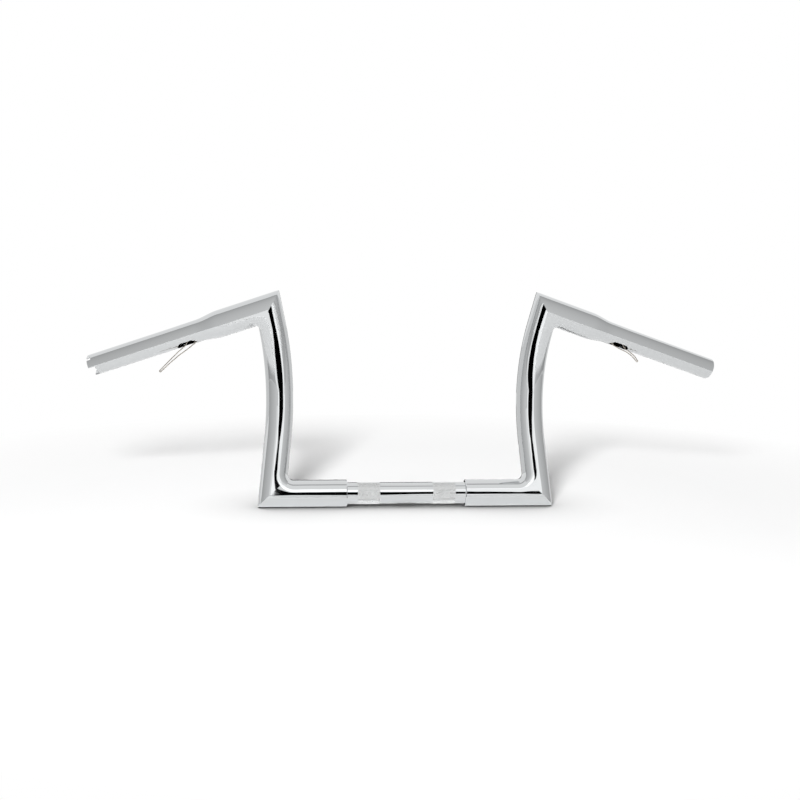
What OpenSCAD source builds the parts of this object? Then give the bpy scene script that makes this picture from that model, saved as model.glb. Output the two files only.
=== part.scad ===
// Ape hanger handlebar: a weldment of mitred round tubes, chromed, with room inside for the wiring.
// X points to the rider's left, Y back to the rider and Z up. The origin is the centre of the clamped bar.

/* [Corners] */
// From the middle of the bar to the bottom corners, measured on the tube axes
base_half = 157.5; // [140:0.5:180]
// From the middle of the bar to the top corners, measured on the tube axes
top_half = 161.5; // [150:0.5:175]
// Height of the top corners above the clamped bar
rise = 218; // [200:0.5:300]
// Radius in the inner side of each bottom corner, where the weld is filled and polished
corner_fillet = 7; // [5:0.5:9]

/* [Risers] */
// Height at which the two straights of a riser would meet
bend_height = 131; // [115:1:140]
// How far that point lies inside the bottom corner
bend_in = 13; // [8:0.5:18]
// How far that point lies behind the corners
bend_back = 32; // [24:1:36]
// Radius of the bend, on the tube axis
bend_radius = 215; // [170:5:220]

/* [Grips] */
// Length of the left grip tube, from the top corner to its end
grip_length = 238; // [225:1:260]
// How much shorter the throttle's tube is, on the rider's right
throttle_shorter = 8; // [0:1:12]
// Angle by which the grips sweep back
grip_sweep = 15; // [8:0.5:25]
// Angle by which the grips drop towards their ends
grip_drop = 18.5; // [10:0.5:24]
// Distance from the top corner at which the tube begins to narrow
swage_start = 60; // [50:1:64]
// Distance from the top corner at which it has narrowed to the neck
swage_end = 90; // [84:1:92]
// How much larger than the grip's own radius the neck still is there
neck_extra = 0.25; // [0.2:0.05:0.4]
// Distance from the top corner at which the straight seat for the hand grip begins
seat_start = 120; // [119:1:125]

/* [Tubes] */
// Outer diameter of the lower tubes, the risers and the inner half of the grips
fat_d = 31.75; // [30:0.25:34]
// Clearance round the bar where it is sleeved into those tubes, which their bore leaves all along
sleeve_clearance = 0.15; // [0.1:0.05:0.25]
// Outer diameter of the hand grip seats
seat_d = 25.4; // [24.5:0.1:26]
// Wall of the tube at its narrow end
seat_wall = 2.4; // [2:0.1:3]
// How much wider the bore is reamed, all round, at the grips' ends, for a plug or the throttle's sensor
end_ream = 0.3; // [0.2:0.05:0.5]
// Depth of that reamed hole
ream_depth = 45; // [30:1:60]
// Chamfer on the ends of the tubes
end_chamfer = 0.8; // [0.4:0.1:1]

/* [Clamped bar] */
// Outer diameter of the bar that the risers clamp
bar_d = 25.4; // [24:0.1:25.5]
// Wall of that bar
bar_wall = 3.2; // [2.5:0.1:4]
// Length of the bar that shows between the fat tubes
clamp_width = 139.7; // [130:0.1:160]
// How far each end of the bar is sleeved into its fat tube
sleeve_depth = 35; // [25:1:40]
// Distance between the centres of the two knurled bands
knurl_spacing = 88.9; // [80:0.1:96]
// Length of a knurled band
knurl_length = 27; // [20:0.5:30]
// How far the knurl stands out of the bar
knurl_height = 0.2; // [0.1:0.05:0.3]

/* [Wiring slots] */
// Length of the slot under the middle of the bar
bar_slot_length = 30; // [24:1:34]
// Width of that slot
bar_slot_width = 13; // [10:0.5:14]
// Distance from the top corner to the near end of the slot under each grip
grip_slot_start = 92.5; // [91:0.5:94]
// Length of the slot under each grip
grip_slot_length = 26; // [25:0.5:27]
// Width of that slot
grip_slot_width = 14; // [12:0.5:15]
// Angle by which that slot is turned from straight down towards the front
grip_slot_turn = 15; // [0:1:25]

/* [Throttle end] */
// Width of the small notch for the throttle sensor
small_notch_width = 4; // [3:0.5:6]
// Depth of the small notch, along the tube
small_notch_depth = 5.5; // [4:0.5:8]
// Angle of the small notch, from straight down towards the front
small_notch_turn = 129; // [120:1:140]
// Width of the large notch
large_notch_width = 18; // [12:0.5:19]
// Depth of the large notch, along the tube
large_notch_depth = 9; // [6:0.5:12]
// Angle of the large notch, from straight down towards the front
large_notch_turn = 32; // [20:1:45]

/* [Pull wires] */
// Diameter of the steel wire that pulls the wiring through the tubes
wire_d = 1.2; // [0.8:0.1:1.6]
// Distance between the two strands of the wire inside the tubes
strand_gap = 2.4; // [2.2:0.1:3]
// Clearance between the wire and the wall that it rests on
wire_clearance = 0.3; // [0.2:0.05:0.5]

// Distance from the middle of the bar to the ends of the wires inside it
wire_start = 17; // [17:1:30]
// Radius of the turn that a wire takes in a bottom corner
base_turn_r = 22; // [16:1:26]
// Radius of the turn that a wire takes in a top corner
top_turn_r = 16; // [12:1:18]
// Radius of the turn that a wire takes down to the slot under the grip
slot_turn_r = 8; // [6:1:10]
// Angle at which a wire goes down through that slot
slot_exit = 45; // [40:1:55]
// Radius of the hairpin at the tip of each loop, on the wire's axis
hairpin_r = 0.9; // [0.9:0.05:1.2]

/* [Hidden] */
$fn = 96;
fat_r = fat_d / 2;
seat_r = seat_d / 2;
seat_bore_r = seat_r - seat_wall;
end_bore_r = seat_bore_r + end_ream;
throttle_length = grip_length - throttle_shorter;
bar_r = bar_d / 2;
bar_bore_r = bar_r - bar_wall;
fat_bore_r = bar_r + sleeve_clearance;
bar_length = clamp_width + 2 * sleeve_depth;
// How far a tube is drawn past its corner before the mitre cuts it
overrun = 2 * fat_r;
// The blend in a corner's inner side is this much thinner than the tubes, so that it emerges from them
blend_inset = 0.1;
// The bent stretch is drawn a touch thinner than the straights, which reach a little way over it
bend_thinning = 0.02;
bend_lap = 2;
// Each loop's strands from the slot towards the tip, and the tip: the distance along the grip from
// the top corner, the drop below its axis and the reach to its front
left_near_strand = [[98.5, 12.3, 3], [107, 14, 4], [117, 15, 5], [124, 16.5, 5], [130, 19, 5]];
left_far_strand = [[115.5, 12.3, 5], [122, 13.9, 6], [129, 16.3, 6]];
left_tip = [135.5, 21, 5.5];
left_tip_angle = 28;
right_near_strand = [[96.5, 12.3, 3], [107, 16.6, 4], [120, 20.6, 4.5], [133, 25.8, 5]];
right_far_strand = [[109.5, 12.3, 4], [119, 16.3, 4.5], [131, 22, 5]];
right_tip = [148, 31.5, 5];
right_tip_angle = 24;
wire_sides = 8;
// How far a wire runs on past the sleeved end of the bar before it rises to the corner
wire_end_gap = 4;
// Steps in a wire's turns at the corners, in the riser's bend and in the hairpin
turn_steps = 4;
bend_steps = 8;
hairpin_steps = 6;
// Number of straight steps in the narrowing of a grip
swage_steps = 8;
// How far a cut reaches past the surface that it starts from
past = 1;

// Corner points and directions of the tubes on the rider's left
base_point = [base_half, 0, 0];
bend_point = [base_half - bend_in, bend_back, bend_height];
top_point = [top_half, 0, rise];
inward = [-1, 0, 0];
base_up = unit(bend_point - base_point);
bend_down = -base_up;
bend_up = unit(top_point - bend_point);
top_down = -bend_up;
grip_out = [
    cos(grip_drop) * cos(grip_sweep),
    cos(grip_drop) * sin(grip_sweep),
    -sin(grip_drop)
];
grip_down = unit(cross(cross(grip_out, [0, 0, -1]), grip_out));
grip_back = cross(grip_out, grip_down);

function unit(v) = v / norm(v);
function half_angle(a, b) = acos(a * b) / 2;

// Where a bend of this radius in the corner between directions a and b has its centre
function bend_centre(point, a, b, radius) =
    point + unit(a + b) * radius / sin(half_angle(a, b));

// Where that bend starts, on the tube that leaves the corner along a
function bend_start(point, a, b, radius) = point + a * radius / tan(half_angle(a, b));

// Points along that bend, from its start on a to its end on b
function bend_points(point, a, b, radius, steps) =
    let(
        centre = bend_centre(point, a, b, radius),
        outer = -unit(a + b),
        side = unit(a - b),
        reach = 90 - half_angle(a, b)
    )
    [for (i = [0 : steps])
        let(turn = reach * (1 - 2 * i / steps))
        centre + radius * (outer * cos(turn) + side * sin(turn))];

// Puts the children's X, Y and Z on three directions, with their origin at a point
module in_frame(origin, x_dir, y_dir, z_dir) {
    multmatrix([
        [x_dir.x, y_dir.x, z_dir.x, origin.x],
        [x_dir.y, y_dir.y, z_dir.y, origin.y],
        [x_dir.z, y_dir.z, z_dir.z, origin.z],
        [0, 0, 0, 1]
    ]) children();
}

module rod(from, to, radius) {
    z_dir = unit(to - from);
    x_dir = unit(cross([0, 1, 0], z_dir));
    in_frame(from, x_dir, cross(z_dir, x_dir), z_dir)
        cylinder(r = radius, h = norm(to - from));
}

// A round bend in the corner between directions a and b
module bend(point, a, b, radius, section_r) {
    x_dir = -unit(a + b);
    z_dir = unit(cross(b, a));
    reach = 90 - half_angle(a, b);
    in_frame(bend_centre(point, a, b, radius), x_dir, cross(z_dir, x_dir), z_dir)
        rotate([0, 0, -reach])
            rotate_extrude(angle = 2 * reach)
                translate([radius, 0])
                    circle(r = section_r);
}

// Cuts the children, a tube that leaves the corner along one direction, on the mitre with the other tube
module mitred(point, along, other) {
    z_dir = unit(other - along);
    x_dir = unit(cross([0, 1, 0], z_dir));
    size = 4 * fat_d;
    difference() {
        children();
        in_frame(point, x_dir, cross(z_dir, x_dir), z_dir)
            translate([-size / 2, -size / 2, 0])
                cube(size);
    }
}

// The filled and polished inner side of a bottom corner
module corner_blend() {
    bend(base_point, base_up, inward, fat_r + corner_fillet, fat_r - blend_inset);
}

// A riser's run as a solid rod, drawn past both corners
module riser_run(radius) {
    lower_end = bend_start(bend_point, bend_down, bend_up, bend_radius);
    upper_end = bend_start(bend_point, bend_up, bend_down, bend_radius);
    rod(base_point + bend_down * overrun, lower_end - bend_down * bend_lap, radius);
    bend(bend_point, bend_down, bend_up, bend_radius, radius - bend_thinning);
    rod(upper_end - bend_up * bend_lap, top_point + bend_up * overrun, radius);
}

// A slot with round ends, cut from the axis out along +X, its length along Z
module slot(length, width, reach) {
    straight = length - width;
    rotate([0, 90, 0])
        linear_extrude(reach) {
            square([straight, width], center = true);
            for (end = [-1, 1])
                translate([end * straight / 2, 0])
                    circle(d = width);
        }
}

// Places the children on one of the two sides: 1 is the rider's left, -1 the rider's right
module on_side(side) {
    mirror([side < 0 ? 1 : 0, 0, 0]) children();
}

// The bar that the clamps hold, with two knurled bands and the wiring slot under its middle
module centre_bar() {
    color("gainsboro")
    difference() {
        union() {
            rotate([0, 90, 0]) cylinder(r = bar_r, h = bar_length, center = true);
            for (side = [-1, 1])
                translate([side * knurl_spacing / 2, 0, 0])
                    rotate([0, 90, 0])
                        cylinder(r = bar_r + knurl_height, h = knurl_length, center = true);
        }
        rotate([0, 90, 0]) cylinder(r = bar_bore_r, h = bar_length + 2 * past, center = true);
        rotate([0, 90, 0]) slot(bar_slot_length, bar_slot_width, bar_r + past);
    }
}

// The fat tube from the clamped bar out to the bottom corner
module lower_tube(side) {
    color("silver")
    on_side(side)
    mitred(base_point, inward, base_up)
    difference() {
        union() {
            translate([clamp_width / 2, 0, 0])
                rotate([0, 90, 0]) {
                    cylinder(r1 = fat_r - end_chamfer, r2 = fat_r, h = end_chamfer);
                    translate([0, 0, end_chamfer])
                        cylinder(r = fat_r, h = base_half + overrun - clamp_width / 2 - end_chamfer);
                }
            corner_blend();
        }
        rod([0, 0, 0], base_point - inward * (overrun + past), fat_bore_r);
    }
}

// The bent tube that rises from the bottom corner to the top corner
module riser(side) {
    color("lightgray")
    on_side(side)
    mitred(base_point, base_up, inward)
    mitred(top_point, top_down, grip_out)
    difference() {
        union() {
            riser_run(fat_r);
            corner_blend();
        }
        riser_run(fat_bore_r);
    }
}

// A smooth change from one radius to another between two distances along the tube
function swage(r_from, r_to) = [
    for (i = [0 : swage_steps])
        let(share = i / swage_steps)
        [
            r_from + (r_to - r_from) * (1 - cos(180 * share)) / 2,
            swage_start + (swage_end - swage_start) * share
        ]
];

function backwards(list) = [for (i = [len(list) - 1 : -1 : 0]) list[i]];

// The tube that carries the hand grip and the controls, swaged down from the riser's diameter
module grip_tube(side) {
    length = side < 0 ? throttle_length : grip_length;
    color("silver")
    on_side(side)
    mitred(top_point, grip_out, top_down)
    in_frame(top_point, grip_down, grip_back, grip_out)
    difference() {
        rotate_extrude()
            polygon(concat(
                [[fat_bore_r, -overrun], [fat_r, -overrun]],
                swage(fat_r, seat_r + neck_extra),
                [
                    [seat_r, seat_start],
                    [seat_r, length - end_chamfer],
                    [seat_r - end_chamfer, length],
                    [end_bore_r, length],
                    [end_bore_r, length - ream_depth],
                    [seat_bore_r, length - ream_depth],
                    [seat_bore_r, seat_start]
                ],
                backwards(swage(fat_bore_r, seat_bore_r + neck_extra))
            ));
        translate([0, 0, grip_slot_start + grip_slot_length / 2])
            rotate([0, 0, -grip_slot_turn])
                slot(grip_slot_length, grip_slot_width, fat_r);
        if (side < 0) {
            notch(small_notch_width, small_notch_depth, small_notch_turn);
            notch(large_notch_width, large_notch_depth, large_notch_turn);
        }
    }
}

// A notch in the end of the throttle's tube, for the sensor inside it
module notch(width, depth, turn) {
    rotate([0, 0, -turn])
        translate([0, -width / 2, throttle_length - depth])
            cube([fat_r, width, depth + past]);
}

// A point in a grip's own measures: along it from the top corner, below its axis and to its front
function on_grip(place) = top_point + grip_out * place[0] + grip_down * place[1] - grip_back * place[2];

// One strand of a wire from the clamped bar to the slot under the grip, set to one side of the axes
function strand(offset, exit) =
    let(
        shift = [0, offset, 0],
        low = -sqrt(pow(bar_bore_r - wire_d / 2 - wire_clearance, 2) - pow(offset, 2)),
        bar_end = [bar_length / 2 + wire_end_gap, 0, low],
        turn = on_grip([exit[0] - exit[1] / tan(slot_exit), 0, 0]),
        out_of_slot = unit(on_grip(exit) - turn)
    )
    concat(
        [[wire_start, offset, low], bar_end + shift],
        [for (p = bend_points(base_point, unit(bar_end - base_point), base_up, base_turn_r, turn_steps))
            p + shift],
        [for (p = bend_points(bend_point, bend_down, bend_up, bend_radius, bend_steps)) p + shift],
        [for (p = bend_points(top_point, top_down, grip_out, top_turn_r, turn_steps)) p + shift],
        [for (p = bend_points(turn, -grip_out, out_of_slot, slot_turn_r, turn_steps)) p + shift]
    );

// The half circle that joins two strands, from the lower one to the upper one
function hairpin(tip, angle) = [
    for (i = [0 : hairpin_steps])
        let(turn = 90 - 180 * i / hairpin_steps + angle)
        tip + hairpin_r * [cos(turn), sin(turn), 0]
];

// A whole wire's route: out through the tubes on one strand, round the loop and back on the other
function wire_route(near_strand, far_strand, tip, tip_angle) = concat(
    strand(strand_gap / 2, near_strand[0]),
    [for (place = concat(near_strand, hairpin(tip, tip_angle), backwards(far_strand))) on_grip(place)],
    backwards(strand(-strand_gap / 2, far_strand[0]))
);

function tangent(route, i) =
    unit(route[min(i + 1, len(route) - 1)] - route[max(i - 1, 0)]);

// A round wire along a route that never runs along Y
module wire(route) {
    last = len(route) - 1;
    rings = [
        for (i = [0 : last])
            let(
                along = tangent(route, i),
                across = unit(cross(along, [0, 1, 0])),
                over = cross(across, along)
            )
            for (k = [0 : wire_sides - 1])
                let(turn = 360 * k / wire_sides)
                route[i] + wire_d / 2 * (across * cos(turn) + over * sin(turn))
    ];
    sides = [
        for (i = [0 : last - 1], k = [0 : wire_sides - 1])
            let(next = (k + 1) % wire_sides, from = i * wire_sides, to = from + wire_sides)
            [from + k, from + next, to + next, to + k]
    ];
    start_cap = [for (k = [wire_sides - 1 : -1 : 0]) k];
    end_cap = [for (k = [0 : wire_sides - 1]) last * wire_sides + k];
    polyhedron(points = rings, faces = concat([start_cap], sides, [end_cap]));
}

// The pull wire in the rider's left half, doubled, with its loop hanging out of the slot
module pull_wire_left() {
    color("darkgray")
        wire(wire_route(left_near_strand, left_far_strand, left_tip, left_tip_angle));
}

// The same in the rider's right half
module pull_wire_right() {
    color("darkgray")
    on_side(-1)
        wire(wire_route(right_near_strand, right_far_strand, right_tip, right_tip_angle));
}

centre_bar();
lower_tube(1);  // lower_tube_left
lower_tube(-1);  // lower_tube_right
riser(1);  // riser_left
riser(-1);  // riser_right
grip_tube(1);  // grip_tube_left
grip_tube(-1);  // grip_tube_right
pull_wire_left();
pull_wire_right();
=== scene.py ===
import math

import bmesh
import bpy
import numpy as np
from mathutils import Matrix


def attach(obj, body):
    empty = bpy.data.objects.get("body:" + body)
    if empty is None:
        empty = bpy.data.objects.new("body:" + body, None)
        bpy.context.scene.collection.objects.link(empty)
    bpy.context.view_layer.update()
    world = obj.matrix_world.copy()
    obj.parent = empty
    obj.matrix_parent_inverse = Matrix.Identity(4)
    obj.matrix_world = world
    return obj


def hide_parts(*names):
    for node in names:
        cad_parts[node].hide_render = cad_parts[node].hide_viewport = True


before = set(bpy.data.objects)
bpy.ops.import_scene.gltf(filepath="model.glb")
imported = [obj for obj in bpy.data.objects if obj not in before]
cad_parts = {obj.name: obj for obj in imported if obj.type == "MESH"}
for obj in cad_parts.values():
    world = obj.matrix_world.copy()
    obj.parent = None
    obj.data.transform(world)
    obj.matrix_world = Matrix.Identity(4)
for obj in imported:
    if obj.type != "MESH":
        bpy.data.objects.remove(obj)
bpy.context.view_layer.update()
scene = bpy.context.scene


# The camera
# It looks at the front of the bar, from the side where the motorbike's headlamp would be and from a
# little above, tilted down by 7.4 degrees, at the photograph's angle and distance.
MM = 0.001
VIEW_YAW, VIEW_TILT, VIEW_ROLL = math.radians(4.808), math.radians(7.409), math.radians(-0.645)
VIEW_PLACE = np.array([-7.066, -1500.0, 109.938])
FOCAL_PIXELS = 1266.0
PHOTO_PIXELS = 800.0
SENSOR_WIDTH = 36.0
NEAREST_SEEN, FARTHEST_SEEN = 0.05, 60.0


def turned(axis, angle):
    cos, sin = math.cos(angle), math.sin(angle)
    if axis == "X":
        return np.array([[1, 0, 0], [0, cos, -sin], [0, sin, cos]])
    if axis == "Y":
        return np.array([[cos, 0, -sin], [0, 1, 0], [sin, 0, cos]])
    return np.array([[cos, -sin, 0], [sin, cos, 0], [0, 0, 1]])


view_axes = turned("Y", VIEW_ROLL) @ turned("X", VIEW_TILT) @ turned("Z", VIEW_YAW)
camera = bpy.data.objects.new("camera", bpy.data.cameras.new("camera"))
scene.collection.objects.link(camera)
camera.data.sensor_fit = "HORIZONTAL"
camera.data.sensor_width = SENSOR_WIDTH
camera.data.lens = SENSOR_WIDTH * FOCAL_PIXELS / PHOTO_PIXELS
camera.data.clip_start = NEAREST_SEEN
camera.data.clip_end = FARTHEST_SEEN
place = view_axes.T @ VIEW_PLACE * MM
columns = np.column_stack([view_axes[0], view_axes[2], -view_axes[1], place])
camera.matrix_world = Matrix([*columns.tolist(), [0, 0, 0, 1]])
scene.camera = camera


# The clamped bar
# A straight 1 inch steel tube that the two handlebar clamps hold, plated bright. It has a slot under
# its middle, where the wiring comes out, and it is let into the fat tubes at both ends.
BAR_R, BAR_BORE_R = 12.7, 9.5
BAR_LENGTH, BAR_END_CHAMFER = 209.7, 1.0
BAR_SLOT_LENGTH, BAR_SLOT_WIDTH = 30.0, 13.0
SLOT_RINGS, SLOT_RINGS_REACH = 17, 24.0
SLOT_BLOCK_REACH, SLOT_BLOCK_TURNS = 18.0, 16
BAND_PLACE, BAND_LENGTH = 44.45, 27.0
BAND_ROOT_R, BAND_TIP_R = 12.6, 12.9
BAND_BED, BAND_EDGE = 0.02, 0.01
ROUND, SHARP_EDGE = 144, 35.0
turns = np.arange(ROUND) * 2 * math.pi / ROUND


def linear(hex_colour):
    channels = [int(hex_colour[i : i + 2], 16) / 255 for i in (1, 3, 5)]
    return [c / 12.92 if c <= 0.04045 else ((c + 0.055) / 1.055) ** 2.4 for c in channels] + [1.0]


def add_node(tree, kind, settings=None, inputs=None):
    node = tree.nodes.new(kind)
    for name, value in (settings or {}).items():
        setattr(node, name, value)
    for socket, value in (inputs or {}).items():
        if isinstance(value, bpy.types.NodeSocket):
            tree.links.new(value, node.inputs[socket])
        else:
            node.inputs[socket].default_value = value
    return node


def new_material(name):
    material = bpy.data.materials.new(name)
    material.use_nodes = True
    material.node_tree.nodes.clear()
    return material, material.node_tree


# Bright decorative chrome over polished steel: a mirror, a little darker than silver and hardly blue,
# with the soft waves that hand polishing leaves and a breath of haze where it was wiped.
POLISH_WAVE, POLISH_DEPTH, HAZE_SIZE = 30.0, 0.28, 18.0


def bright_chrome(name):
    material, tree = new_material(name)
    place = add_node(tree, "ShaderNodeTexCoord").outputs["Object"]
    haze = add_node(tree, "ShaderNodeTexNoise", inputs={
        "Vector": place, "Scale": 1 / (HAZE_SIZE * MM), "Detail": 4.0, "Roughness": 0.6})
    roughness = add_node(tree, "ShaderNodeMapRange", inputs={
        "Value": haze.outputs["Fac"], "From Min": 0.35, "From Max": 0.75, "To Min": 0.025, "To Max": 0.075})
    wave = add_node(tree, "ShaderNodeTexNoise", inputs={
        "Vector": place, "Scale": 1 / (POLISH_WAVE * MM), "Detail": 1.0, "Roughness": 0.4})
    polish = add_node(tree, "ShaderNodeBump", inputs={
        "Height": wave.outputs["Fac"], "Strength": 1.0, "Distance": POLISH_DEPTH * MM})
    shader = add_node(tree, "ShaderNodeBsdfPrincipled", inputs={
        "Base Color": linear("#d2d4d5"), "Metallic": 1.0,
        "Roughness": roughness.outputs["Result"], "Normal": polish.outputs["Normal"]})
    add_node(tree, "ShaderNodeOutputMaterial", inputs={"Surface": shader.outputs["BSDF"]})
    return material


def unit(vector):
    vector = np.asarray(vector, float)
    return vector / np.linalg.norm(vector)


def ring(centre, across, over, radius, angles):
    return centre + radius * (np.outer(np.cos(angles), across) + np.outer(np.sin(angles), over))


# A slot with round ends in the wall of a tube. block holds the places on the rim of the cells that are
# taken out for it, and place(distance, sideways, skin) gives a point of the outer or the inner skin.
def cut_slot(points, faces, block, rims, middle, length, width, place):
    straight, end_r, steps = (length - width) / 2, width / 2, 4
    outer_rim, inner_rim = rims
    outline = []
    for along, aside in block:
        angle = math.atan2(aside, along - middle)
        cos, sin = math.cos(angle), math.sin(angle)
        reach = end_r / max(abs(sin), 1e-9)
        if abs(reach * cos) > straight:
            b = straight * abs(cos)
            reach = b + math.sqrt(b * b - straight * straight + end_r * end_r)
        outline.append((middle + reach * cos, reach * sin))
    count = len(block)
    loops = []
    for skin, rim in enumerate((outer_rim, inner_rim)):
        loops.append([rim])
        for step in range(1, steps + 1):
            share = step / steps
            start = len(points)
            for (along, aside), (x, y) in zip(block, outline):
                points.append(place(along + (x - along) * share, aside + (y - aside) * share, skin))
            loops[skin].append(list(range(start, start + count)))
    for skin in (0, 1):
        for near, far in zip(loops[skin], loops[skin][1:]):
            for i in range(count):
                j = (i + 1) % count
                quad = [near[i], near[j], far[j], far[i]]
                faces.append(quad if skin == 0 else quad[::-1])
    for i in range(count):
        j = (i + 1) % count
        faces.append([loops[0][-1][i], loops[0][-1][j], loops[1][-1][j], loops[1][-1][i]])


# A tube's wall as one closed shell, from the points of its outer and its inner skin, ring by ring.
# kept holds 1 for a cell of the wall, 0 for one that is cut away and 2 for one that a slot replaces.
def tube_wall(name, outer, inner, kept=None, slots=()):
    rings, around = outer.shape[:2]
    if kept is None:
        kept = np.ones((rings - 1, around), int)
    points = [tuple(p) for p in outer.reshape(-1, 3)] + [tuple(p) for p in inner.reshape(-1, 3)]
    depth = rings * around
    faces = []
    for k in range(rings - 1):
        for j in range(around):
            if kept[k][j] != 1:
                continue
            n = (j + 1) % around
            a, b, c, d = k * around + j, (k + 1) * around + j, (k + 1) * around + n, k * around + n
            faces.append([a, b, c, d])
            faces.append([d + depth, c + depth, b + depth, a + depth])
            sides = (
                (k - 1, j, d, a), (k + 1, j, b, c), (k, (j - 1) % around, a, b), (k, n, c, d)
            )
            for row, column, p, q in sides:
                if row < 0 or row >= rings - 1 or kept[row][column] == 0:
                    faces.append([q, p, p + depth, q + depth])
    for slot in slots:
        cut_slot(points, faces, *slot)
    return finished(name, points, faces)


def finished(name, points, faces):
    mesh = bpy.data.meshes.new(name)
    mesh.from_pydata([tuple(c * MM for c in p) for p in points], [], faces)
    shape = bmesh.new()
    shape.from_mesh(mesh)
    loose = [v for v in shape.verts if not v.link_faces]
    bmesh.ops.delete(shape, geom=loose, context="VERTS")
    bmesh.ops.recalc_face_normals(shape, faces=shape.faces)
    for face in shape.faces:
        face.smooth = True
    for edge in shape.edges:
        if len(edge.link_faces) == 2 and edge.calc_face_angle(0.0) > math.radians(SHARP_EDGE):
            edge.smooth = False
    shape.to_mesh(mesh)
    shape.free()
    piece = bpy.data.objects.new(name, mesh)
    scene.collection.objects.link(piece)
    return piece


# The cells of a tube's wall that a slot takes, their rim on both skins, and the rim's places as
# distances along the tube and to the side of the slot.
def slot_block(kept, first_ring, last_ring, middle_turn, half_turns, distances, radius):
    around = kept.shape[1]
    columns = [(middle_turn + j) % around for j in range(-half_turns, half_turns + 1)]
    for k in range(first_ring, last_ring):
        for j in columns[:-1]:
            kept[k][j] = 2
    rim = [(k, 0) for k in range(first_ring, last_ring)]
    rim += [(last_ring, j) for j in range(2 * half_turns)]
    rim += [(k, 2 * half_turns) for k in range(last_ring, first_ring, -1)]
    rim += [(first_ring, j) for j in range(2 * half_turns, 0, -1)]
    depth = (kept.shape[0] + 1) * around
    outer_rim = [k * around + columns[j] for k, j in rim]
    places = [
        (distances[k], radius(distances[k]) * math.sin((j - half_turns) * 2 * math.pi / around))
        for k, j in rim
    ]
    return places, (outer_rim, [i + depth for i in outer_rim])


tube_chrome = bright_chrome("bright_chrome_on_polished_tube")
half_bar, half_band = BAR_LENGTH / 2, BAND_LENGTH / 2
stations = [-half_bar, -half_bar + BAR_END_CHAMFER, half_bar - BAR_END_CHAMFER, half_bar]
for side in (-1, 1):
    edges = [side * BAND_PLACE - half_band, side * BAND_PLACE + half_band]
    stations += [edges[0] - BAND_EDGE, edges[0], edges[1], edges[1] + BAND_EDGE]
stations = sorted([*stations, *np.linspace(-SLOT_RINGS_REACH, SLOT_RINGS_REACH, SLOT_RINGS)])
bar_outer, bar_inner = [], []
for x in stations:
    radius = BAR_R
    if abs(abs(x) - BAND_PLACE) < half_band + BAND_EDGE / 2:
        radius = BAND_ROOT_R + BAND_BED
    elif abs(x) > half_bar - BAR_END_CHAMFER / 2:
        radius = BAR_R - BAR_END_CHAMFER
    bar_outer.append(ring(np.array([x, 0, 0]), [0, 0, -1], [0, 1, 0], radius, turns))
    bar_inner.append(ring(np.array([x, 0, 0]), [0, 0, -1], [0, 1, 0], BAR_BORE_R, turns))
kept = np.ones((len(stations) - 1, ROUND), int)
first, last = (int(np.argmin(abs(np.array(stations) - x))) for x in (-SLOT_BLOCK_REACH, SLOT_BLOCK_REACH))


def on_bar(along, aside, skin):
    radius = (BAR_R, BAR_BORE_R)[skin]
    return along, aside, -math.sqrt(radius * radius - aside * aside)


places, rims = slot_block(kept, first, last, 0, SLOT_BLOCK_TURNS, stations, lambda x: BAR_R)
centre_bar = tube_wall(
    "centre_bar_chromed",
    np.array(bar_outer),
    np.array(bar_inner),
    kept,
    [(places, rims, 0.0, BAR_SLOT_LENGTH, BAR_SLOT_WIDTH, on_bar)],
)
centre_bar.data.materials.append(tube_chrome)
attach(centre_bar, "root")
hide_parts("centre_bar")


# The knurled bands
# Two bands where the clamps grip, rolled with a diamond knurl before the bar was plated. The points
# of the diamonds stand a little proud of the bar and scatter the light, so the bands look matt. The
# photograph is too coarse to show single diamonds, so their pitch is a guess.
KNURL_PITCH, TOOTH_TOP = 1.35, 0.12
KNURL_TEETH = round(2 * math.pi * BAND_TIP_R / KNURL_PITCH)
KNURL_ROWS = round(BAND_LENGTH / KNURL_PITCH)
KNURL_SIZES = {
    "Place": "NodeSocketFloat", "Length": "NodeSocketFloat", "Root radius": "NodeSocketFloat",
    "Tip radius": "NodeSocketFloat", "Teeth": "NodeSocketInt", "Rows": "NodeSocketInt",
    "Finish": "NodeSocketMaterial",
}


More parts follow.
